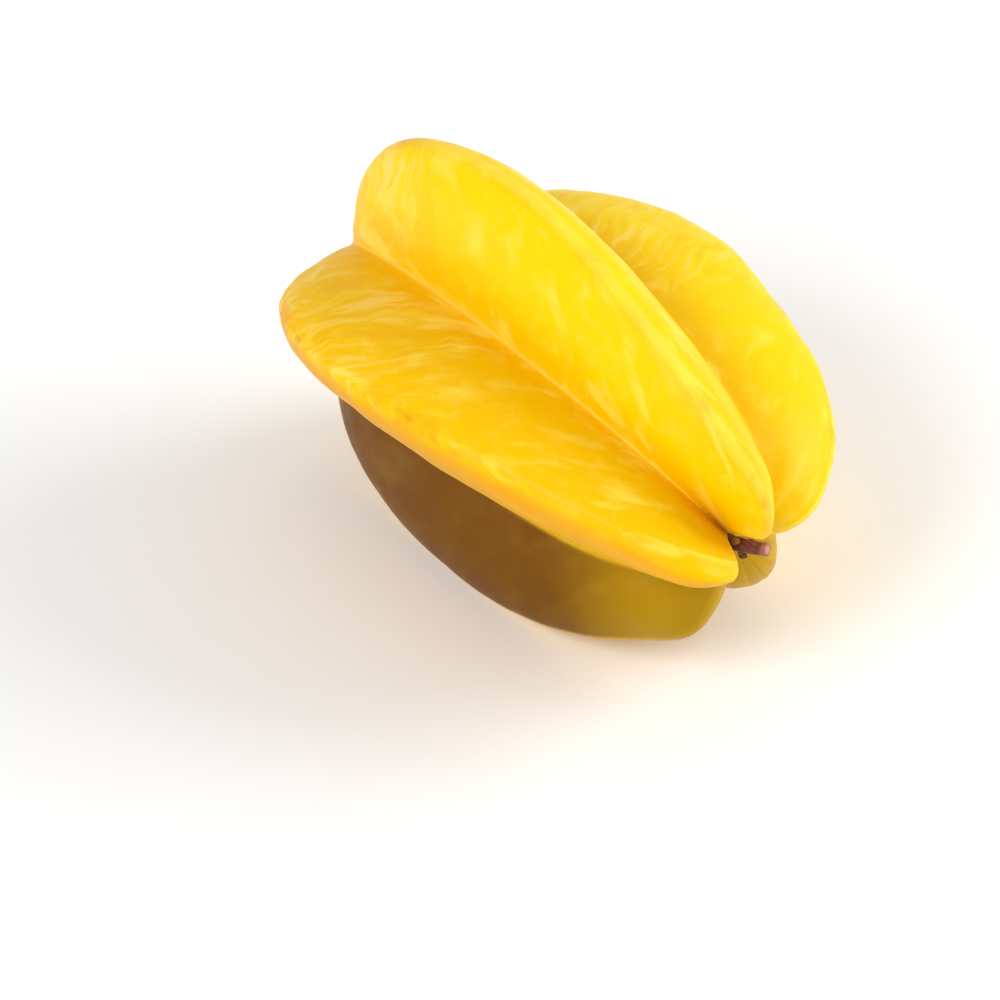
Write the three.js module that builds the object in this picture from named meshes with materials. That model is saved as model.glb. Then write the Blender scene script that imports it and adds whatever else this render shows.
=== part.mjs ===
// A whole star fruit (carambola) lying on two of its five ribs, in millimetres, +Z up.
//
// The fruit's long axis runs along X, with the stem end at +X. Each rib is swept between
// its crest line and the two valley lines beside it, so the cross-section is a five-pointed
// star with rounded tips. The ribs differ a little in reach, in how full their ends are and
// in the lobes with which they stand round the stem, as they do on a grown fruit. A dried
// stalk and its five sepals stand in the hollow between those lobes.
import * as THREE from 'three';

// ---- driving dimensions ---------------------------------------------------------------
const CREST_RADIUS = 36.8;       // axis to the crest of an average rib, at the middle
const VALLEY_RADIUS = 19.2;      // axis to the bottom of the valleys, at the middle
const CREST_LEAN = -0.9;         // how far the crests' widest place lies towards the blossom
const BOW_UP = -3.7;             // how far up the ends of the bowed axis lie, before the roll
const ROLL = 5.6;                // degrees that the fruit is turned about its axis
const FLANK_REACH_POWER = 1.7;   // how a flank runs out from valley to crest
const FLANK_SPREAD_POWER = 1.08; // how it opens to the sides
const REST_FLAT_DEPTH = 1.1;     // how deep the lowest crests are pressed flat
const LOBE_STEP = 0.38;          // where along its outline a rib's stem lobe juts out most
const LOBE_WIDTH = 0.2;          // and how wide along the outline the lobe is

// Each end: its reach from the middle to the shoulders, the hollow in it, the taper of the
// crests towards it, and the powers of its outlines. A larger power draws an outline in
// sooner, a smaller one fills it out.
const STEM_END = {
  side: 1, reach: 50.7, hollowDepth: 6.3, hollowRadius: 5.8, taper: 0.19,
  crestLength: 1.11, crestWidth: 0.55, valleyLength: 1.04, valleyWidth: 0.5,
};
const BLOSSOM_END = {
  side: -1, reach: 47.0, hollowDepth: 2.1, hollowRadius: 10.6, taper: 0.0,
  crestLength: 1.0, crestWidth: 0.607, valleyLength: 1.0, valleyWidth: 0.43,
};

// The ribs in order around the axis. The angle is in degrees from +Y towards +Z, and the
// turns are what is added to it towards each end. Crest, stemReach and blossomReach are
// shares of the average rib's, stemLobe is how far the lobe at the stem end juts out. The
// swell is a place where the crest stands a little higher or, when negative, has a dent; its
// place and width are steps along the outline, which runs from 0 at the stem end to pi at
// the blossom end.
const RIBS = [
  { angle: 8.6, stemTurn: -3.6, blossomTurn: -3.0, crest: 1.04,
    stemReach: 0.984, blossomReach: 0.952, stemLobe: -0.7,
    swell: { at: 1.24, width: 0.26, height: -0.037 } },
  { angle: 91.6, stemTurn: 4.7, blossomTurn: -1.0, crest: 1.02,
    stemReach: 1.103, blossomReach: 1.019, stemLobe: 3.4,
    swell: { at: 0.99, width: 0.4, height: -0.049 } },
  { angle: 154.4, stemTurn: -8.6, blossomTurn: 2.5, crest: 0.995,
    stemReach: 1.118, blossomReach: 0.958, stemLobe: 3.6,
    swell: { at: 1.95, width: 0.4, height: 0.05 } },
  { angle: 236.8, stemTurn: -3.1, blossomTurn: 1.3, crest: 0.944,
    stemReach: 0.918, blossomReach: 0.968, stemLobe: 2.2,
    swell: { at: 0.94, width: 0.4, height: 0.015 } },
  { angle: 299.3, stemTurn: 2.1, blossomTurn: 1.7, crest: 1.0,
    stemReach: 0.896, blossomReach: 1.004, stemLobe: -0.5,
    swell: { at: 0.52, width: 0.4, height: -0.023 } },
];

const STALK_LENGTH = 5.2;
const STALK_FOOT_RADIUS = 1.3;
const STALK_TIP_RADIUS = 1;
const STALK_LEAN_SIDE = 0.34;    // how the stalk leans: its rise to +Y and +Z per unit along
const STALK_LEAN_UP = 0.2;
const STEM_LIFT = 2.4;           // keeps the stalk and sepals clear of the hollow's walls

const SEPAL_COUNT = 5;
const SEPAL_LENGTH = 2.0;
const SEPAL_WIDTH = 1.4;
const SEPAL_THICKNESS = 0.4;
const SEPAL_LIFT = 66;           // degrees that a sepal stands off the skin
const SEPAL_FOOT_RADIUS = 2.05;   // from the axis to a sepal's foot
const SEPAL_TURN_SHARE = 0.82;   // where the first sepal stands, as a share of their spacing

// ---- fineness of the surfaces -----------------------------------------------------------
const ROWS = 44;                 // rings from the stem end to the blossom end
const COLUMNS = 14;              // strips across one rib
const END_CROWDING = 0.6;        // how much closer the rings stand near the two ends
const STALK_SIDES = 10;
const STALK_RINGS = 7;

// ---- colours ----------------------------------------------------------------------------
const SKIN = { color: 0xf6c21c, roughness: 0.32, metalness: 0 };
const STALK_BARK = { color: 0x6e2f22, roughness: 0.7, metalness: 0 };
const DRY_SEPAL = { color: 0x59301f, roughness: 0.85, metalness: 0 };

const FULL_TURN = 2 * Math.PI;
const FULL_DEGREES = 360;
const fruit = new THREE.Group();

function addPiece(name, geometry, finish, parent = fruit) {
  const mesh = new THREE.Mesh(geometry, new THREE.MeshStandardMaterial(finish));
  mesh.name = name;
  parent.add(mesh);
  return mesh;
}

function meshGeometry(points, triangles) {
  const geometry = new THREE.BufferGeometry();
  geometry.setAttribute('position', new THREE.Float32BufferAttribute(points.flat(), 3));
  geometry.setIndex(triangles.flat());
  geometry.computeVertexNormals();
  return geometry;
}

// Closes a stack of rings, which run anticlockwise seen from the first point, with one
// point at each end. Points are listed first point, ring by ring, last point.
function ringTriangles(rings, sides) {
  const triangles = [];
  const at = (ring, side) => 1 + ring * sides + (side % sides);
  const last = 1 + rings * sides;
  for (let side = 0; side < sides; side += 1) {
    triangles.push([0, at(0, side), at(0, side + 1)]);
    for (let ring = 0; ring < rings - 1; ring += 1) {
      triangles.push([at(ring, side), at(ring + 1, side), at(ring + 1, side + 1)]);
      triangles.push([at(ring, side), at(ring + 1, side + 1), at(ring, side + 1)]);
    }
    triangles.push([last, at(rings - 1, side + 1), at(rings - 1, side)]);
  }
  return triangles;
}

// ---- the fruit's body ---------------------------------------------------------------------

function endAt(step) {
  return Math.cos(step) >= 0 ? STEM_END : BLOSSOM_END;
}

// The valley line: how far along the axis and how far from it, at one step.
function valleyAt(step) {
  const end = endAt(step);
  const along = Math.abs(Math.cos(step));
  const across = Math.sin(step);
  return {
    x: end.side * (end.reach - end.hollowDepth) * along ** end.valleyLength,
    radius: VALLEY_RADIUS * across ** end.valleyWidth,
  };
}

// A rib's crest line. Close to the axis it dips into the hollow at that end.
function crestAt(rib, step) {
  const end = endAt(step);
  const { crest, stemReach, blossomReach, stemLobe, swell } = RIBS[rib];
  const along = Math.abs(Math.cos(step));
  const across = Math.sin(step);
  const swollen = 1 + swell.height * Math.exp(-(((step - swell.at) / swell.width) ** 2));
  const narrowing = 1 - end.taper * along ** 2;
  const radius = CREST_RADIUS * crest * across ** end.crestWidth * narrowing * swollen;
  const reach = end.reach * (end === STEM_END ? stemReach : blossomReach);
  const dip = Math.exp(-((radius / end.hollowRadius) ** 2));
  const x = reach * along ** end.crestLength - (end.hollowDepth + reach - end.reach) * dip;
  const lobe = stemLobe * Math.exp(-(((step - LOBE_STEP) / LOBE_WIDTH) ** 2));
  return { x: end.side * x + CREST_LEAN * across ** 2 + lobe, radius };
}

// The angle of a rib's crest at one step, in degrees: it turns a little towards the ends.
function ribAngle(rib, step) {
  const { angle, stemTurn, blossomTurn } = RIBS[rib];
  const turn = endAt(step) === STEM_END ? stemTurn : blossomTurn;
  return angle + turn * Math.cos(step) ** 2;
}

// Half of the angle from a rib to its neighbour on one side (+1 or -1), in radians.
function halfGap(rib, side, step) {
  const neighbour = (rib + side + RIBS.length) % RIBS.length;
  const gap = (side * (ribAngle(neighbour, step) - ribAngle(rib, step)) + FULL_DEGREES) % FULL_DEGREES;
  return THREE.MathUtils.degToRad(gap / 2);
}

// One point of a rib: spread runs from -90 to 90 degrees, from valley over crest to valley.
function ribPoint(rib, step, spread) {
  const valley = valleyAt(step);
  const crest = crestAt(rib, step);
  const side = spread < 0 ? -1 : 1;
  const gap = halfGap(rib, side, step);
  const outward = Math.max(Math.cos(spread), 0) ** FLANK_REACH_POWER;
  const sideways = side * Math.abs(Math.sin(spread)) ** FLANK_SPREAD_POWER;
  const foot = valley.radius * Math.cos(gap);
  const far = foot + (crest.radius - foot) * outward;
  const off = valley.radius * Math.sin(gap) * sideways;
  const x = valley.x + (crest.x - valley.x) * outward;
  return placed(x, far, off, ribAngle(rib, step));
}

// Turns a point on a rib about the axis, bows the axis and rolls the whole fruit.
function placed(x, far, off, degrees) {
  const angle = THREE.MathUtils.degToRad(degrees);
  const bow = (x / ((STEM_END.reach + BLOSSOM_END.reach) / 2)) ** 2;
  const y = far * Math.cos(angle) - off * Math.sin(angle);
  const z = far * Math.sin(angle) + off * Math.cos(angle) + BOW_UP * bow;
  const roll = THREE.MathUtils.degToRad(ROLL);
  return [x, y * Math.cos(roll) - z * Math.sin(roll), y * Math.sin(roll) + z * Math.cos(roll)];
}

function outlineStep(row) {
  const share = row / ROWS;
  return Math.PI * (share - (END_CROWDING * Math.sin(FULL_TURN * share)) / FULL_TURN);
}

function bodyPoints() {
  const stemPole = STEM_END.reach - STEM_END.hollowDepth;
  const blossomPole = BLOSSOM_END.reach - BLOSSOM_END.hollowDepth;
  const points = [placed(stemPole, 0, 0, 0)];
  for (let row = 1; row < ROWS; row += 1) {
    for (let rib = 0; rib < RIBS.length; rib += 1) {
      for (let column = 0; column < COLUMNS; column += 1) {
        const spread = Math.PI * (column / COLUMNS - 0.5);
        points.push(ribPoint(rib, outlineStep(row), spread));
      }
    }
  }
  points.push(placed(-blossomPole, 0, 0, 0));
  return points;
}

// Presses the lowest crests flat, as a ripe fruit is where it lies.
function pressedFlat(points) {
  const floor = Math.min(...points.map(([, , z]) => z)) + REST_FLAT_DEPTH;
  return points.map(([x, y, z]) => [x, y, Math.max(z, floor)]);
}

// ---- the stalk and its sepals ---------------------------------------------------------------

// A stack of rings along the stalk's own +Z, closed at both ends.
function stalkGeometry() {
  const points = [[0, 0, 0]];
  for (let ring = 0; ring < STALK_RINGS; ring += 1) {
    const share = ring / (STALK_RINGS - 1);
    const radius = THREE.MathUtils.lerp(STALK_FOOT_RADIUS, STALK_TIP_RADIUS, Math.sqrt(share));
    for (let side = 0; side < STALK_SIDES; side += 1) {
      const angle = (-FULL_TURN * side) / STALK_SIDES;
      points.push([radius * Math.cos(angle), radius * Math.sin(angle), STALK_LENGTH * share]);
    }
  }
  points.push([0, 0, STALK_LENGTH]);
  return meshGeometry(points, ringTriangles(STALK_RINGS, STALK_SIDES));
}

// A small pointed blade that lies in its own XY plane, its foot at the origin, tip at +Y.
function sepalGeometry() {
  const outline = new THREE.Shape();
  outline.moveTo(-SEPAL_WIDTH / 4, 0);
  outline.lineTo(SEPAL_WIDTH / 4, 0);
  outline.quadraticCurveTo(SEPAL_WIDTH * 0.7, SEPAL_LENGTH / 2, 0, SEPAL_LENGTH);
  outline.quadraticCurveTo(-SEPAL_WIDTH * 0.7, SEPAL_LENGTH / 2, -SEPAL_WIDTH / 4, 0);
  return new THREE.ExtrudeGeometry(outline, {
    depth: SEPAL_THICKNESS, bevelEnabled: false, curveSegments: 4,
  });
}

// Stands a group over the stem end's middle, its +Z along the given direction.
function stemGroup(direction) {
  const group = new THREE.Group();
  const pole = placed(STEM_END.reach - STEM_END.hollowDepth, 0, 0, 0);
  group.position.set(pole[0] + STEM_LIFT, pole[1], pole[2]);
  group.quaternion.setFromUnitVectors(new THREE.Vector3(0, 0, 1), direction.normalize());
  fruit.add(group);
  return group;
}

function addSepals() {
  const calyx = stemGroup(new THREE.Vector3(1, 0, 0));
  for (let index = 0; index < SEPAL_COUNT; index += 1) {
    const turn = (FULL_TURN * (index + SEPAL_TURN_SHARE)) / SEPAL_COUNT;
    const sepal = addPiece(`sepal_${index + 1}`, sepalGeometry(), DRY_SEPAL, calyx);
    sepal.rotation.set(THREE.MathUtils.degToRad(SEPAL_LIFT), 0, turn, 'ZXY');
    sepal.position.set(-SEPAL_FOOT_RADIUS * Math.sin(turn), SEPAL_FOOT_RADIUS * Math.cos(turn), 0);
  }
}

const bodySides = RIBS.length * COLUMNS;
const bodyTriangles = ringTriangles(ROWS - 1, bodySides);
addPiece('fruit_body', meshGeometry(pressedFlat(bodyPoints()), bodyTriangles), SKIN);
const stalkDirection = new THREE.Vector3(1, STALK_LEAN_SIDE, STALK_LEAN_UP);
addPiece('stalk', stalkGeometry(), STALK_BARK, stemGroup(stalkDirection));
addSepals();

// The origin is the middle of the whole box's underside.
const box = new THREE.Box3().setFromObject(fruit);
const middle = box.getCenter(new THREE.Vector3());
fruit.position.set(-middle.x, -middle.y, -box.min.z);

export default fruit;
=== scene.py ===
import math

import bpy
import numpy as np
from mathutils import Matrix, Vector


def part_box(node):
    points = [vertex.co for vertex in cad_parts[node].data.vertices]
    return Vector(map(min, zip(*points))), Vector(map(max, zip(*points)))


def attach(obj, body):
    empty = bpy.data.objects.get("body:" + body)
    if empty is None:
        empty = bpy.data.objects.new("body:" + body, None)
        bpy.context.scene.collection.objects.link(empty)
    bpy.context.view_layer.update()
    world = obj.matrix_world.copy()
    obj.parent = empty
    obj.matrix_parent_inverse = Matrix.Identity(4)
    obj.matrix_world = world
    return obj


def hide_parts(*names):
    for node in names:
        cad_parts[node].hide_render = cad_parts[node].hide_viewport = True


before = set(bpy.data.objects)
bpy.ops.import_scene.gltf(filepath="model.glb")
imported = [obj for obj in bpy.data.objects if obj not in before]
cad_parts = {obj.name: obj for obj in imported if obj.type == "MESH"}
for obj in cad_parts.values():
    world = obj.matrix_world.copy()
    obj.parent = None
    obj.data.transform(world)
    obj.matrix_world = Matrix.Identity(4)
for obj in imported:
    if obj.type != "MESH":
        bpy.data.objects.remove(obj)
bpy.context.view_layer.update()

# A ripe star fruit lying on two of its five ribs. Shapes are worked out in millimetres in
# the fruit's own frame (axis along X, stem end at +X) and then put in metres on its place.
MM = 0.001

# ---- dimensions -------------------------------------------------------------------------
CREST_RADIUS = 36.8
VALLEY_RADIUS = 19.2
CREST_LEAN = -0.9
BOW_UP = -3.7
ROLL = math.radians(5.6)
FLANK_REACH_POWER = 1.7
FLANK_SPREAD_POWER = 1.08
REST_FLAT_DEPTH = 1.1
LOBE_STEP = 0.38
LOBE_WIDTH = 0.2

STEM_END = {
    "side": 1, "reach": 50.7, "hollow_depth": 6.3, "hollow_radius": 5.8, "taper": 0.19,
    "crest_length": 1.11, "crest_width": 0.55, "valley_length": 1.04, "valley_width": 0.5,
}
BLOSSOM_END = {
    "side": -1, "reach": 47.0, "hollow_depth": 2.1, "hollow_radius": 10.6, "taper": 0.0,
    "crest_length": 1.0, "crest_width": 0.607, "valley_length": 1.0, "valley_width": 0.43,
}

# Each rib: angle from +Y towards +Z and its turns towards the ends in degrees, crest and
# reaches as shares of the average rib's, how far its stem lobe juts out, and a swell (place
# and width along the outline, height as a share). Wrinkled is how far along the fruit the
# fine wrinkles come from the blossom end, and how strong they are.
RIBS = [
    {"angle": 8.6, "stem_turn": -3.6, "blossom_turn": -3.0, "crest": 1.04,
     "stem_reach": 0.984, "blossom_reach": 0.952, "stem_lobe": -0.7,
     "swell": (1.24, 0.26, -0.037), "wrinkled": (14, 0.9)},
    {"angle": 91.6, "stem_turn": 4.7, "blossom_turn": -1.0, "crest": 1.02,
     "stem_reach": 1.103, "blossom_reach": 1.019, "stem_lobe": 3.4,
     "swell": (0.99, 0.4, -0.049), "wrinkled": (-16, 0.9)},
    {"angle": 154.4, "stem_turn": -8.6, "blossom_turn": 2.5, "crest": 0.995,
     "stem_reach": 1.118, "blossom_reach": 0.958, "stem_lobe": 3.6,
     "swell": (1.95, 0.4, 0.05), "wrinkled": (10, 1.0)},
    {"angle": 236.8, "stem_turn": -3.1, "blossom_turn": 1.3, "crest": 0.944,
     "stem_reach": 0.918, "blossom_reach": 0.968, "stem_lobe": 2.2,
     "swell": (0.94, 0.4, 0.015), "wrinkled": (-10, 0.6)},
    {"angle": 299.3, "stem_turn": 2.1, "blossom_turn": 1.7, "crest": 1.0,
     "stem_reach": 0.896, "blossom_reach": 1.004, "stem_lobe": -0.5,
     "swell": (0.52, 0.4, -0.023), "wrinkled": (0, 0.7)},
]

# The ribs' places in that list.
UPPER_BACK, TOP, UPPER_FRONT, LOWER_FRONT, LOWER_BACK = range(len(RIBS))

ROWS = 300
COLUMNS = 60
END_CROWDING = 0.6
NOISE_GRID = 256

# ---- the skin's relief, in millimetres ----------------------------------------------------
LUMP_HEIGHT = 0.3
LUMP_SPACING = 12.0
WRINKLE_HEIGHT = 0.18
WRINKLE_SPACING = 2.0
WRINKLE_LENGTH = 9.0
WRINKLE_FADE = 16.0
LIP_PLACE = 0.13
LIP_WIDTH = 0.045
LIP_HEIGHT = 0.07
VALLEY_SOFTNESS = 3.5


# ---- smooth noise on arrays ----------------------------------------------------------------

def gradient_noise(x, y, seed):
    """Smooth noise of about -0.7 to 0.7: a grid of random slopes, one per whole number, whose
    planes are blended with the curve 6t^5 - 15t^4 + 10t^3 between the grid's corners."""
    angles = np.random.default_rng(seed).uniform(0, 2 * np.pi, (NOISE_GRID, NOISE_GRID))
    left = np.floor(x).astype(int)
    low = np.floor(y).astype(int)
    dx = x - left
    dy = y - low

    def plane(right, up):
        angle = angles[(left + right) % NOISE_GRID, (low + up) % NOISE_GRID]
        return np.cos(angle) * (dx - right) + np.sin(angle) * (dy - up)

    blend_x = dx**3 * (dx * (dx * 6 - 15) + 10)
    blend_y = dy**3 * (dy * (dy * 6 - 15) + 10)
    bottom = plane(0, 0) + blend_x * (plane(1, 0) - plane(0, 0))
    top = plane(0, 1) + blend_x * (plane(1, 1) - plane(0, 1))
    return bottom + blend_y * (top - bottom)


def ease(value):
    """Runs from 0 to 1 with flat ends: 3t^2 - 2t^3 on the value held between 0 and 1."""
    held = np.clip(value, 0, 1)
    return held * held * (3 - 2 * held)


# ---- the fruit's surface -------------------------------------------------------------------

def of_end(step, key):
    """The stem end's value where the step is on that side, else the blossom end's."""
    return np.where(np.cos(step) >= 0, STEM_END[key], BLOSSOM_END[key])


def valley_line(step):
    """Along the axis: side * (reach - hollow) * |cos|^length power. Away from it: the valley
    radius * sin^width power."""
    along = np.abs(np.cos(step))
    depth = of_end(step, "reach") - of_end(step, "hollow_depth")
    x = of_end(step, "side") * depth * along ** of_end(step, "valley_length")
    return x, VALLEY_RADIUS * np.sin(step) ** of_end(step, "valley_width")


def crest_line(rib, step):
    """Like the valley line with the rib's own radius and reach, narrowed towards the ends by
    the taper times cos squared, swollen by a bell curve, dipped into the hollow at each end
    by a bell curve of its distance from the axis, and pushed out at the stem lobe."""
    along = np.abs(np.cos(step))
    across = np.sin(step)
    place, width, height = rib["swell"]
    swollen = 1 + height * np.exp(-(((step - place) / width) ** 2))
    narrowing = 1 - of_end(step, "taper") * along**2
    fullness = across ** of_end(step, "crest_width")
    radius = CREST_RADIUS * rib["crest"] * fullness * narrowing * swollen
    share = np.where(np.cos(step) >= 0, rib["stem_reach"], rib["blossom_reach"])
    reach = of_end(step, "reach") * share
    dip = np.exp(-((radius / of_end(step, "hollow_radius")) ** 2))
    shoulder = reach * along ** of_end(step, "crest_length")
    fall = (of_end(step, "hollow_depth") + reach - of_end(step, "reach")) * dip
    lobe = rib["stem_lobe"] * np.exp(-(((step - LOBE_STEP) / LOBE_WIDTH) ** 2))
    return of_end(step, "side") * (shoulder - fall) + CREST_LEAN * across**2 + lobe, radius


def rib_angle(index, step):
    """The rib's angle in degrees, plus its turn at that end times cos squared."""
    rib = RIBS[index % len(RIBS)]
    turn = np.where(np.cos(step) >= 0, rib["stem_turn"], rib["blossom_turn"])
    return rib["angle"] + turn * np.cos(step) ** 2


def half_gap(index, side, step):
    """Half of the angle from a rib to its neighbour on that side, in radians."""
    gap = side * (rib_angle(index + side, step) - rib_angle(index, step))
    return np.radians(gap % 360) / 2


def placed(x, far, off, angle):
    """Turns points about the axis by the rib's angle, bows the axis by the square of the
    distance along it, and rolls the fruit."""
    bow = (x / ((STEM_END["reach"] + BLOSSOM_END["reach"]) / 2)) ** 2
    y = far * np.cos(angle) - off * np.sin(angle)
    z = far * np.sin(angle) + off * np.cos(angle) + BOW_UP * bow
    rolled_y = y * math.cos(ROLL) - z * math.sin(ROLL)
    rolled_z = y * math.sin(ROLL) + z * math.cos(ROLL)
    return np.stack(np.broadcast_arrays(x, rolled_y, rolled_z), -1)


def rib_surface(index, step, spread):
    """Blends from the valley line to the crest line by cos(spread)^reach power, while going
    sideways by the valley's half width times sin(spread)^spread power."""
    rib = RIBS[index]
    valley_x, valley_radius = valley_line(step)
    crest_x, crest_radius = crest_line(rib, step)
    gap = np.where(spread < 0, half_gap(index, -1, step), half_gap(index, 1, step))
    outward = np.clip(np.cos(spread), 0, 1) ** FLANK_REACH_POWER
    sideways = np.sign(spread) * np.abs(np.sin(spread)) ** FLANK_SPREAD_POWER
    foot = valley_radius * np.cos(gap)
    far = foot + (crest_radius - foot) * outward
    off = valley_radius * np.sin(gap) * sideways
    x = valley_x + (crest_x - valley_x) * outward
    return placed(x, far, off, np.radians(rib_angle(index, step)))


def streak_place(index, x, spread):
    """Where a point lies across and along the wrinkles: they run from crest to valley, lean
    more towards the stem end the nearer they are to it, and are bent by slow noise."""
    across = np.broadcast_to(spread, x.shape) * VALLEY_RADIUS
    lean = 0.6 * ease((x + 48) / 50)
    bend = 2.4 * gradient_noise(x / 9, across / 8, 10 * index + 2)
    bend = bend + 0.8 * gradient_noise(x / 3.5, across / 3, 10 * index + 6)
    return x - lean * np.abs(across) + bend, across


def wrinkle_amount(index, x, across, outward):
    """Strongest at the blossom end, fading along the rib and into the valleys, patchy."""
    start, strength = RIBS[index]["wrinkled"]
    patchy = 0.75 + 0.9 * gradient_noise(x / 9, across / 12, 10 * index + 5)
    fade = ease((start - x) / WRINKLE_FADE + 0.15) * ease(outward / 0.3)
    return np.clip(strength * fade * patchy, 0, 1)


def rib_relief(index, x, spread, outward):
    """Height of the skin over the smooth rib: wide soft lumps, fine wrinkles, and a low lip
    along the crest that parts in two towards the stem. All fade out in the valleys."""
    across_streaks, across = streak_place(index, x, spread)
    seed = 10 * index
    lumps = gradient_noise(x / LUMP_SPACING, across / LUMP_SPACING, seed)
    lumps = lumps + 0.45 * gradient_noise(2.3 * x / LUMP_SPACING, 2.3 * across / LUMP_SPACING, seed + 1)
    phase = across_streaks / WRINKLE_SPACING
    wrinkles = gradient_noise(phase, across / WRINKLE_LENGTH, seed + 3)
    wrinkles = wrinkles + 0.5 * gradient_noise(1.9 * phase, 1.9 * across / WRINKLE_LENGTH, seed + 4)
    amount = wrinkle_amount(index, x, across, outward)
    lip = np.exp(-(((np.abs(spread) - LIP_PLACE) / LIP_WIDTH) ** 2)) * ease((x - 4) / 14)
    lip = lip + np.exp(-((spread / LIP_WIDTH) ** 2)) * ease((14 - x) / 10)
    relief = LUMP_HEIGHT * lumps + WRINKLE_HEIGHT * amount * wrinkles + LIP_HEIGHT * lip
    return ease(outward / 0.25) * relief


def softened_valleys(rings, outward):
    """Rounds the sharp fold between two ribs: near it each point moves to the average of its
    neighbours round the ring, weighted by a bell curve."""
    reach = int(3 * VALLEY_SOFTNESS)
    shifts = np.arange(-reach, reach + 1)
    weights = np.exp(-((shifts / VALLEY_SOFTNESS) ** 2) / 2)
    average = sum(w * np.roll(rings, k, axis=1) for w, k in zip(weights / weights.sum(), shifts))
    near = 1 - ease(outward / 0.3)
    return rings + near[..., None] * (average - rings)


def grid_normals(points):
    """Unit normals of a grid of rings: the cross product of the step from ring to ring and
    the step round the ring, which closes on itself."""
    down = np.gradient(points, axis=0)
    turn = np.roll(points, -1, axis=1) - np.roll(points, 1, axis=1)
    normal = np.cross(down, turn)
    return normal / np.linalg.norm(normal, axis=-1, keepdims=True)


def outline_steps():
    """Steps from one end (0) to the other (pi), closer together near both."""
    share = np.arange(1, ROWS) / ROWS
    return np.pi * (share - END_CROWDING * np.sin(2 * np.pi * share) / (2 * np.pi))


def ring_faces(rings, sides):
    """Quads between neighbouring rings and a fan of triangles to the point at each end."""
    ring, side = np.meshgrid(np.arange(rings - 1), np.arange(sides), indexing="ij")
    after = (side + 1) % sides
    first = 1 + ring * sides
    quads = np.stack([first + side, first + sides + side, first + sides + after, first + after], -1)
    edge = np.arange(sides)
    beyond = (edge + 1) % sides
    last_ring = 1 + (rings - 1) * sides
    last = 1 + rings * sides
    start_fan = np.stack([np.zeros(sides, int), 1 + edge, 1 + beyond], -1)
    end_fan = np.stack([np.full(sides, last), last_ring + beyond, last_ring + edge], -1)
    return quads.reshape(-1, 4).tolist() + start_fan.tolist() + end_fan.tolist()


def make_object(name, points, faces, material):
    """A smooth-shaded mesh object at the origin, from points in metres."""
    mesh = bpy.data.meshes.new(name)
    mesh.from_pydata(points.tolist(), [], faces)
    mesh.shade_smooth()
    mesh.materials.append(material)
    made = bpy.data.objects.new(name, mesh)
    bpy.context.scene.collection.objects.link(made)
    return made


def add_attribute(made, name, values):
    layer = made.data.attributes.new(name, "FLOAT", "POINT")
    layer.data.foreach_set("value", values.astype(np.float32))


# ---- shader expressions --------------------------------------------------------------------

class Value:
    """A socket that can be used in arithmetic: each operator adds one Math node."""

    def __init__(self, finish, socket):
        self.finish = finish
        self.socket = socket

    def math(self, operation, first, second=None):
        inputs = {0: first} if second is None else {0: first, 1: second}
        return self.finish.node("ShaderNodeMath", {"operation": operation}, inputs)

    def __add__(self, other):
        return self.math("ADD", self, other)

    def __radd__(self, other):
        return self.math("ADD", other, self)

    def __sub__(self, other):
        return self.math("SUBTRACT", self, other)

    def __rsub__(self, other):
        return self.math("SUBTRACT", other, self)

    def __mul__(self, other):
        return self.math("MULTIPLY", self, other)

    def __rmul__(self, other):
        return self.math("MULTIPLY", other, self)

    def __pow__(self, other):
        return self.math("POWER", self, other)


class Finish:
    """A material whose nodes are added by calls, with one Principled shader at its end."""

    def __init__(self, name):
        self.material = bpy.data.materials.new(name)
        self.material.use_nodes = True
        self.tree = self.material.node_tree
        self.shader = self.tree.nodes["Principled BSDF"]

    def node(self, kind, settings=None, inputs=None, output=0):
        made = self.tree.nodes.new(kind)
        for key, value in (settings or {}).items():
            setattr(made, key, value)
        for key, value in (inputs or {}).items():
            self.feed(made.inputs[key], value)
        return Value(self, made.outputs[output])

    def feed(self, socket, value):
        if isinstance(value, Value):
            self.tree.links.new(value.socket, socket)
        else:
            socket.default_value = value

    def set(self, **values):
        for key, value in values.items():
            self.feed(self.shader.inputs[key.replace("_", " ")], value)

    def attribute(self, name):
        return self.node("ShaderNodeAttribute", {"attribute_name": name}, output="Fac")

    def noise(self, where, scale, detail=2.0, roughness=0.5, distortion=0.0):
        inputs = {"Vector": where, "Scale": scale, "Detail": detail,
                  "Roughness": roughness, "Distortion": distortion}
        return self.node("ShaderNodeTexNoise", {}, inputs, output="Fac")

    def band(self, value, low, high):
        """Eases from 0 to 1 while the value goes from low to high, which may be lower."""
        inputs = {"Value": value, "From Min": low, "From Max": high}
        return self.node("ShaderNodeMapRange", {"interpolation_type": "SMOOTHSTEP"}, inputs)

    def blend(self, amount, first, second):
        """The first colour turned into the second by the amount."""
        inputs = {"Factor": amount, 6: first, 7: second}
        return self.node("ShaderNodeMix", {"data_type": "RGBA"}, inputs, output=2)

    def combined(self, x, y, z):
        return self.node("ShaderNodeCombineXYZ", {}, {"X": x, "Y": y, "Z": z})

    def stretched(self, where, x, y, z):
        return self.node("ShaderNodeMapping", {}, {"Vector": where, "Scale": (x, y, z)})


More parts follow.
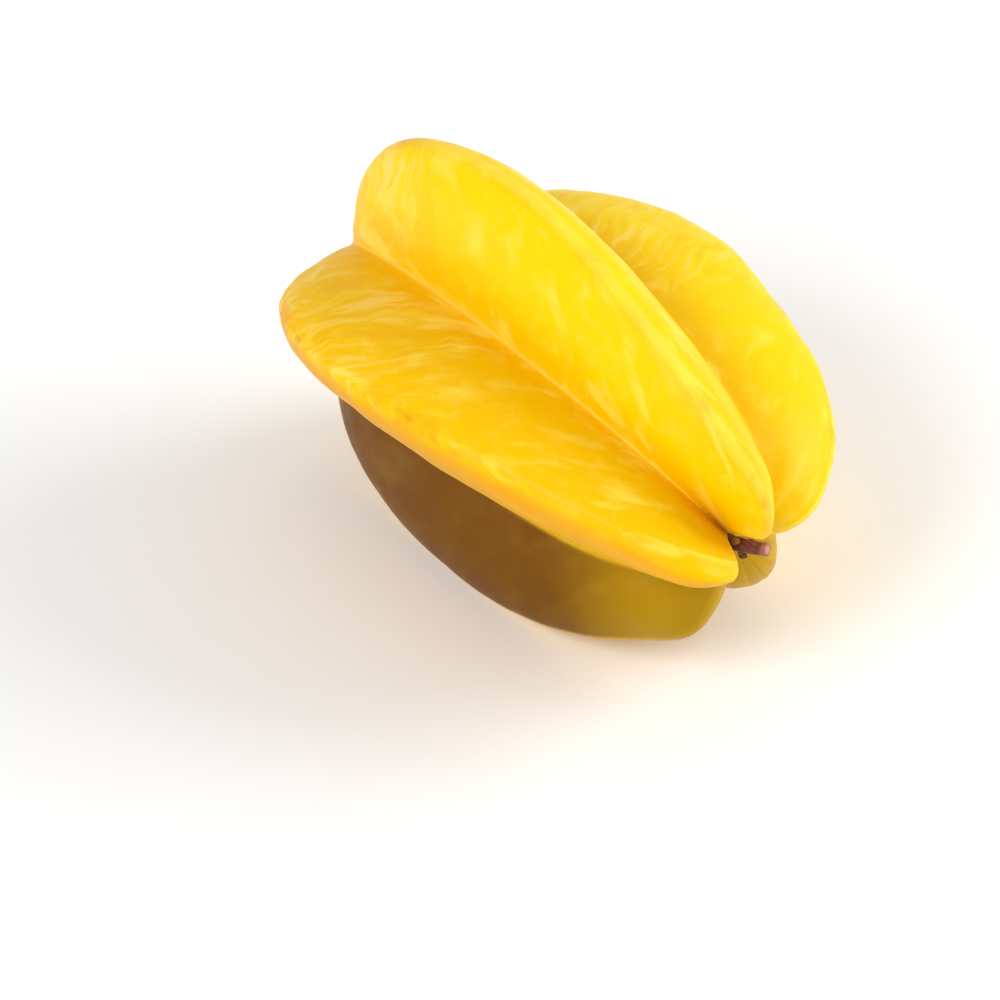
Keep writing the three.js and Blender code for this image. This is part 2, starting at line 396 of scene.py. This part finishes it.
# ---- colours, linear ------------------------------------------------------------------------
BRIGHT_YELLOW = (0.96, 0.65, 0.0, 1)
DEEP_YELLOW = (0.90, 0.52, 0.0, 1)
PAST_TOP_YELLOW = (0.90, 0.46, 0.0, 1)
PALE_YELLOW = (0.99, 0.75, 0.09, 1)
CREAM = (0.99, 0.71, 0.17, 1)
EDGE_ORANGE = (0.86, 0.36, 0.006, 1)
EDGE_BROWN = (0.34, 0.09, 0.012, 1)
SHADE_OLIVE = (0.36, 0.21, 0.0, 1)
SHADOW_BROWN = (0.135, 0.041, 0.0, 1)
BARK_CRACK = (0.05, 0.008, 0.008, 1)
BARK_MAROON = (0.20, 0.045, 0.03, 1)
BARK_BLOOM = (0.36, 0.13, 0.07, 1)
LIT_BARK_TIP = (0.40, 0.14, 0.085, 1)
CUT_WOOD = (0.52, 0.27, 0.17, 1)
SEPAL_DARK = (0.16, 0.06, 0.02, 1)
SEPAL_LIGHT = (0.36, 0.17, 0.05, 1)
SHADE_AMBER = (0.82, 0.36, 0.0, 1)


def skin_finish():
    """Waxy yellow skin: deeper yellow in the valleys as painted shade, deeper towards the stem and on
    the ribs past the top one, with pale soft patches, cream wrinkle streaks as painted highlights with
    painted shade in their furrows, a painted highlight along the upper crests, orange rubbed crests,
    painted amber shade under the upper front crest, and a painted brown shadow and painted olive shade
    on the lower ribs."""
    finish = Finish("star_fruit_skin")
    where = finish.node("ShaderNodeTexCoord", output="Object")
    outward = finish.attribute("outward")
    wrinkled = finish.attribute("wrinkled")
    rubbed = finish.attribute("rubbed")
    streak_x = finish.attribute("streak_x")
    streak_y = finish.attribute("streak_y")
    rib = finish.attribute("rib")

    # Painted shade: deeper yellow down in the valleys between the ribs, brighter up towards the crests.
    rising = finish.band(outward, 0.02, 0.6)
    color = finish.blend(rising, DEEP_YELLOW, BRIGHT_YELLOW)
    # The ribs past the top one are painted a deeper yellow.
    past_top = finish.band(rib, TOP + 0.5, TOP + 0.9)
    color = finish.blend(past_top * 0.6, color, PAST_TOP_YELLOW)
    along = finish.node("ShaderNodeSeparateXYZ", {}, {"Vector": where}, output="X")
    color = finish.blend(finish.band(along, 0.012, 0.046) * 0.5, color, DEEP_YELLOW)
    warm = finish.band(finish.noise(where, 60.0, 3.0, 0.55), 0.48, 0.72)
    color = finish.blend(warm * 0.3, color, DEEP_YELLOW)
    rounded = finish.combined(streak_x * 0.15, streak_y * 0.11, rib * 3.7)
    mottle = finish.noise(rounded, 1.0, 3.0, 0.5, 0.3)
    patches = finish.band(mottle, 0.53, 0.72)
    color = finish.blend(patches * 0.6, color, PALE_YELLOW)
    flecks = finish.band(finish.noise(where, 330.0, 3.0, 0.6), 0.5, 0.7)
    color = finish.blend(flecks * 0.16, color, PALE_YELLOW)

    fine = finish.combined(streak_x * 0.55, streak_y * 0.09, rib * 5.3)
    lines = finish.noise(fine, 1.0, 2.5, 0.55, 0.35)
    # Painted highlights: cream streaks on the wrinkles' ridges. Painted shade: orange in their furrows.
    streak_highlights = finish.band(lines, 0.52, 0.64) * wrinkled
    color = finish.blend(streak_highlights * 0.55, color, CREAM)
    furrow_shade = finish.band(lines, 0.46, 0.36) * wrinkled
    color = finish.blend(furrow_shade * 0.3, color, EDGE_ORANGE)

    seam = finish.band(outward, 0.012, 0.0)
    color = finish.blend(seam * 0.28, color, CREAM)
    # Painted highlight: a pale line along the crests of the upper back and top ribs.
    lip = finish.band(outward, 0.978, 0.998) * finish.band(rib, TOP + 0.6, TOP + 0.2)
    color = finish.blend(lip * 0.45, color, PALE_YELLOW)
    # Painted shade: amber on the lower flank of the upper front rib, under its crest.
    color = finish.blend(finish.attribute("under_crest_shade") * 0.85, color, SHADE_AMBER)
    worn = finish.band(finish.noise(where, 150.0, 4.0, 0.6), 0.42, 0.62)
    crest = finish.band(outward, 0.93, 0.995)
    color = finish.blend(crest * rubbed * worn * 0.8, color, EDGE_ORANGE)
    marks = finish.band(finish.noise(where, 420.0, 3.0), 0.5, 0.62)
    edge = finish.band(outward, 0.985, 0.999)
    color = finish.blend(edge * rubbed * marks * 0.35, color, EDGE_BROWN)

    # Painted shadow: dark brown on the lower front rib's flank under the upper front rib.
    painted_shadow = finish.attribute("painted_shadow")
    color = finish.blend(painted_shadow * (1.0 - 0.1 * mottle), color, SHADOW_BROWN)
    # Painted shade: olive on the two lower ribs towards the stem end.
    color = finish.blend(finish.attribute("olive_shade") * (0.35 + 0.9 * mottle), color, SHADE_OLIVE)

    grain = finish.noise(where, 900.0, 3.0, 0.6)
    height = grain * 0.3 + lines * wrinkled * 0.7
    normal = finish.node(
        "ShaderNodeBump", {}, {"Strength": 0.35, "Distance": 0.0003, "Height": height})
    finish.set(
        Base_Color=color,
        Roughness=0.34 + 0.14 * grain - 0.06 * patches,
        Specular_IOR_Level=0.07,
        Coat_Weight=0.05,
        Coat_Roughness=0.16,
        Subsurface_Weight=0.12,
        Subsurface_Radius=(1.0, 0.5, 0.05),
        Subsurface_Scale=0.004,
        Normal=normal,
    )
    return finish.material


def bark_finish():
    """Dried maroon bark: reddish brown with dark lengthwise cracks and a lighter dusty bloom, painted
    lighter towards the tip as painted light, with paler wood at the cut end.
    """
    finish = Finish("stalk_bark")
    where = finish.node("ShaderNodeTexCoord", output="Object")
    tip = finish.attribute("tip")
    fibres = finish.noise(finish.stretched(where, 0.25, 1, 1), 2600.0, 4.0, 0.65)
    blotch = finish.noise(where, 500.0, 3.0)
    color = finish.blend(finish.band(fibres, 0.35, 0.65), BARK_CRACK, BARK_MAROON)
    color = finish.blend(finish.band(blotch, 0.5, 0.7) * 0.5, color, BARK_BLOOM)
    # Painted light: lighter towards the tip, which leaves the part near the fruit darker as painted
    # shade.
    color = finish.blend(finish.band(tip, 0.78, 1.0) * 0.75, color, LIT_BARK_TIP)
    color = finish.blend(finish.band(tip, 1.2, 1.6), color, CUT_WOOD)
    normal = finish.node(
        "ShaderNodeBump", {}, {"Strength": 0.6, "Distance": 0.0002, "Height": fibres})
    finish.set(Base_Color=color, Roughness=0.42 + 0.3 * blotch, Normal=normal)
    return finish.material


def sepal_finish():
    """Dried brown leaf: darker along its veins."""
    finish = Finish("dry_sepal")
    where = finish.node("ShaderNodeTexCoord", output="Object")
    veins = finish.noise(where, 1800.0, 3.0, 0.6)
    color = finish.blend(finish.band(veins, 0.35, 0.7), SEPAL_DARK, SEPAL_LIGHT)
    normal = finish.node(
        "ShaderNodeBump", {}, {"Strength": 0.5, "Distance": 0.0002, "Height": veins})
    finish.set(Base_Color=color, Roughness=0.6 + 0.25 * veins, Normal=normal)
    return finish.material


# ---- the fruit -------------------------------------------------------------------------------

def make_fruit():
    """Joins the five ribs into rings, softens the valleys, raises the relief, presses the
    lowest crests flat and moves the whole onto its CAD node."""
    step = outline_steps()[:, None]
    spread = (np.pi * (np.arange(COLUMNS) / COLUMNS - 0.5))[None, :]
    count = len(RIBS)
    outward = np.clip(np.cos(spread), 0, 1) ** FLANK_REACH_POWER
    smooth = np.concatenate([rib_surface(i, step, spread) for i in range(count)], axis=1)
    low, high = (np.array(corner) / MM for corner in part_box("fruit_body"))
    floor = smooth[..., 2].min() + REST_FLAT_DEPTH
    own_low, own_high = smooth.reshape(-1, 3).min(0), smooth.reshape(-1, 3).max(0)
    shift = (low + high - own_low - own_high) / 2
    shift[2] = low[2] - floor

    all_round = np.broadcast_to(np.tile(outward, (1, count)), smooth.shape[:2])
    smooth = softened_valleys(smooth, all_round)
    lengthwise = np.split(smooth[..., 0], count, axis=1)
    relief = np.concatenate(
        [rib_relief(i, lengthwise[i], spread, outward) for i in range(count)], axis=1)
    fade = ease(np.sin(step) / 0.12)
    points = smooth + grid_normals(smooth) * (relief * fade)[..., None]
    poles = [placed(end["side"] * (end["reach"] - end["hollow_depth"]), 0, 0, 0)
             for end in (STEM_END, BLOSSOM_END)]
    every = np.concatenate([poles[0][None], points.reshape(-1, 3), poles[1][None]])
    every[:, 2] = np.maximum(every[:, 2], floor)
    rings = ring_faces(ROWS - 1, count * COLUMNS)
    body = make_object("fruit_skin", (every + shift) * MM, rings, skin)
    for name, values in skin_masks(smooth[..., 0], spread, all_round).items():
        values = np.broadcast_to(values, smooth.shape[:2])
        ends = [[values[0].mean()], [values[-1].mean()]]
        add_attribute(body, name, np.concatenate([ends[0], values.ravel(), ends[1]]))
    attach(body, "root")
    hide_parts("fruit_body")
    return shift


def skin_masks(x, spread, outward):
    """The skin's measures for its colours: height on the rib, place across and along the wrinkles, how
    wrinkled, how much painted brown shadow and painted olive shade on the lower ribs, how far under the
    upper front crest for its painted amber shade, and how rubbed."""
    count = len(RIBS)
    columns = np.split(x, count, axis=1)
    places = [streak_place(i, columns[i], spread) for i in range(count)]
    amounts = [wrinkle_amount(i, columns[i], places[i][1], outward[:, :COLUMNS]) for i in range(count)]
    rib = np.repeat(np.arange(count), COLUMNS)[None, :]
    side = np.tile(spread, (1, count))
    # Painted shadow: the lower front rib's flank under the upper front rib turns dark brown, less at
    # its crest, fading by half towards the stem.
    painted_shadow = np.where((rib == LOWER_FRONT) & (side < 0), 1 - 0.9 * ease((outward - 0.96) / 0.04), 0.0)
    painted_shadow = painted_shadow * ease(outward / 0.08) * ease((x + 47) / 14)
    painted_shadow = painted_shadow * (1 - 0.5 * ease((x - 24) / 26))
    # Painted shade: how much of the upper front rib's lower flank is painted amber, most just past its
    # crest.
    turned_under = ease(side / 0.3) * (1 - 0.5 * ease((side - 0.4) / 0.4))
    under_crest_shade = np.where((rib == UPPER_FRONT) & (side > 0), turned_under, 0.0)
    # Painted shade: the two lower ribs turn olive towards the stem end.
    olive_shade = np.where((rib == LOWER_FRONT) | (rib == LOWER_BACK), 1.0, 0.0) * ease((x - 18) / 32)
    rubbed = np.clip(0.15 + 1.1 * gradient_noise(x / 13 + 7 * rib, rib * 1.7 + 0.3, 90), 0, 1)
    rubbed = np.where(rib == UPPER_FRONT, np.maximum(rubbed, ease((x + 10) / -14)), rubbed)
    rubbed = np.where(rib == UPPER_BACK, np.maximum(rubbed, np.exp(-(((x - 17) / 6) ** 2))), rubbed)
    return {
        "outward": outward, "rib": rib, "painted_shadow": painted_shadow, "olive_shade": olive_shade, "rubbed": rubbed,
        "under_crest_shade": under_crest_shade,
        "streak_x": np.concatenate([p[0] for p in places], axis=1),
        "streak_y": np.concatenate([np.broadcast_to(p[1], p[0].shape) for p in places], axis=1),
        "wrinkled": np.concatenate(amounts, axis=1),
    }


# ---- the stalk and the sepals ------------------------------------------------------------------
SEPAL_COUNT = 5
SEPAL_TURN_SHARE = 0.82
STEM_LIFT = 2.4
STALK_ROOT = -2.2
STALK_LENGTH = 4.95
STALK_FOOT_RADIUS = 1.3
STALK_TIP_RADIUS = 0.92
STALK_LEAN = Vector((1, 0.34, 0.2)).normalized()
STALK_RINGS = 60
STALK_SIDES = 48


def make_stalk(foot):
    """Rings round the leaning line of the stalk. The radius narrows by the square root of the
    way up, flares at the cut, and is made uneven by noise."""
    share = np.linspace(0, 1, STALK_RINGS)[:, None]
    turn = -2 * np.pi * np.arange(STALK_SIDES)[None, :] / STALK_SIDES
    length = STALK_ROOT + share * (STALK_LENGTH - STALK_ROOT)
    radius = STALK_FOOT_RADIUS + (STALK_TIP_RADIUS - STALK_FOOT_RADIUS) * np.sqrt(share)
    radius = radius + 0.14 * ease((share - 0.82) / 0.1)
    rough = gradient_noise(length / 1.6 + 3, 2.5 * np.cos(turn), 70)
    rough = rough + 0.6 * gradient_noise(length / 0.8, 3.1 * np.sin(turn), 71)
    ridges = 0.05 * np.cos(5 * turn + 1.2 * length / 4)
    radius = radius * (1 + 0.09 * rough + ridges) * (1 - 0.45 * ease((share - 0.985) / 0.015))
    bend = -0.2 * np.sin(np.pi * share)
    across = STALK_LEAN.orthogonal().normalized()
    up = STALK_LEAN.cross(across)
    line = length[..., None] * np.array(STALK_LEAN) + bend[..., None] * np.array((0, 0, 1.0))
    ring = (radius * np.cos(turn))[..., None] * np.array(across)
    ring = ring - (radius * np.sin(turn))[..., None] * np.array(up)
    points = (line + ring)[:, ::-1]
    ends = [line[0, 0], line[-1, 0] - 0.12 * np.array(STALK_LEAN)]
    every = np.concatenate([ends[0][None], points.reshape(-1, 3), ends[1][None]])
    stalk = make_object("stalk_bark", (every + foot) * MM, ring_faces(STALK_RINGS, STALK_SIDES), bark)
    tip = np.broadcast_to(share, (STALK_RINGS, STALK_SIDES)).copy()
    tip[-1] = 1.45
    add_attribute(stalk, "tip", np.concatenate([[0], tip.ravel(), [2.0]]))
    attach(stalk, "root")
    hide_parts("stalk")


SEPAL_LENGTH = 1.8
SEPAL_WIDTH = 1.3
SEPAL_THICKNESS = 0.3
SEPAL_FOOT_RADIUS = 1.7
SEPAL_LIFT = math.radians(56)
SEPAL_SINK = 0.4
SEPAL_ROWS = 24
SEPAL_SIDES = 20


def make_sepal(index, foot):
    """A blade whose half width is a power of the sine of the way to its tip, cupped across by
    the square of the width and curled up along, with two faces that meet in a thin edge."""
    share = (np.arange(1, SEPAL_ROWS) / SEPAL_ROWS)[:, None]
    angle = 2 * np.pi * np.arange(SEPAL_SIDES)[None, :] / SEPAL_SIDES
    half = SEPAL_WIDTH / 2 * np.sin(np.pi * share**0.7) ** 0.8 + 0.02
    wide = half * np.cos(angle)
    thick = SEPAL_THICKNESS / 2 * np.sin(np.pi * share) ** 0.5 * np.sin(angle)
    reach = SEPAL_LENGTH * share + 0 * angle
    lift = SEPAL_LIFT + 0.5 * share
    cup = 0.3 * (2 * wide / SEPAL_WIDTH) ** 2
    cup = cup + 0.15 * gradient_noise(3 * share + index, 2 * wide, 80)
    height = reach * np.sin(lift) + thick + cup - SEPAL_SINK
    away = SEPAL_FOOT_RADIUS + reach * np.cos(lift)
    turn = 2 * math.pi * (index + SEPAL_TURN_SHARE) / SEPAL_COUNT
    radial = np.array((0, math.cos(turn), math.sin(turn)))
    sideways = np.array((0, -math.sin(turn), math.cos(turn)))
    forward = np.array((1.0, 0, 0))
    points = (away[..., None] * radial + wide[..., None] * sideways
              + height[..., None] * forward)
    every = np.concatenate(
        [points[0].mean(0)[None], points.reshape(-1, 3), points[-1].mean(0)[None]])
    name = f"sepal_leaf_{index + 1}"
    sepal = make_object(name, (every + foot) * MM, ring_faces(SEPAL_ROWS - 1, SEPAL_SIDES), leaf)
    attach(sepal, "root")
    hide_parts(f"sepal_{index + 1}")


# ---- camera, floor and light -----------------------------------------------------------------

def direction(azimuth, elevation):
    """The unit vector from the fruit towards a place at that azimuth and elevation: azimuth
    0 is seen looking along +Y, and 90 looking along -X."""
    a, e = math.radians(azimuth), math.radians(elevation)
    return Vector((math.sin(a) * math.cos(e), -math.cos(a) * math.cos(e), math.sin(e)))


CAMERA_AZIMUTH = 52.86
CAMERA_ELEVATION = 34.84
CAMERA_DISTANCE = 0.985
VIEW_WIDTH = 0.1548
AIM_RIGHT = -0.00786
AIM_UP = -0.01782
SENSOR_WIDTH = 36
FLOOR_REACH = 3.0
SKY_STRENGTH = 0.56


def make_camera(centre):
    """Looks at a point beside the fruit's middle, with a lens that takes in the view's width
    at the fruit's distance."""
    back = direction(CAMERA_AZIMUTH, CAMERA_ELEVATION)
    turn = math.radians(CAMERA_AZIMUTH)
    right = Vector((math.cos(turn), math.sin(turn), 0))
    up = back.cross(right)
    aim = centre + AIM_RIGHT * right + AIM_UP * up
    data = bpy.data.cameras.new("camera")
    data.sensor_width = SENSOR_WIDTH
    data.lens = data.sensor_width * CAMERA_DISTANCE / VIEW_WIDTH
    camera = bpy.data.objects.new("camera", data)
    camera.location = centre + back * CAMERA_DISTANCE
    camera.rotation_euler = (aim - camera.location).to_track_quat("-Z", "Y").to_euler()
    bpy.context.scene.collection.objects.link(camera)
    bpy.context.scene.camera = camera


def make_light(name, towards, distance, size, power, centre):
    data = bpy.data.lights.new(name, "AREA")
    data.shape = "DISK"
    data.size = size
    data.energy = power
    light = bpy.data.objects.new(name, data)
    light.location = centre + towards * distance
    light.rotation_euler = (-towards).to_track_quat("-Z", "Y").to_euler()
    bpy.context.scene.collection.objects.link(light)


def make_floor():
    finish = Finish("pale_floor")
    finish.set(Base_Color=(0.93, 0.93, 0.93, 1), Roughness=0.9, Specular_IOR_Level=0.1)
    corners = FLOOR_REACH * np.array([(-1, -1, 0), (1, -1, 0), (1, 1, 0), (-1, 1, 0)])
    floor = make_object("floor", corners, [(0, 1, 2, 3)], finish.material)


def make_studio(centre):
    world = bpy.data.worlds.new("studio")
    bpy.context.scene.world = world
    world.use_nodes = True
    world.node_tree.nodes["Background"].inputs["Color"].default_value = (1, 1, 1, 1)
    world.node_tree.nodes["Background"].inputs["Strength"].default_value = SKY_STRENGTH
    make_light("key", direction(12, 36), 1.5, 0.85, 12.4, centre)
    make_light("back", direction(154, 27), 0.9, 0.7, 6.0, centre)
    make_floor()
    bpy.context.scene.view_settings.view_transform = "Standard"


skin = skin_finish()
bark = bark_finish()
leaf = sepal_finish()

fruit_shift = make_fruit()
stem_pole = placed(STEM_END["reach"] - STEM_END["hollow_depth"], 0, 0, 0) + fruit_shift
stem_foot = stem_pole + np.array((STEM_LIFT, 0, 0))
make_stalk(stem_foot)
for sepal_index in range(SEPAL_COUNT):
    make_sepal(sepal_index, stem_foot)

fruit_middle = Vector(fruit_shift) * MM
make_camera(fruit_middle)
make_studio(fruit_middle)
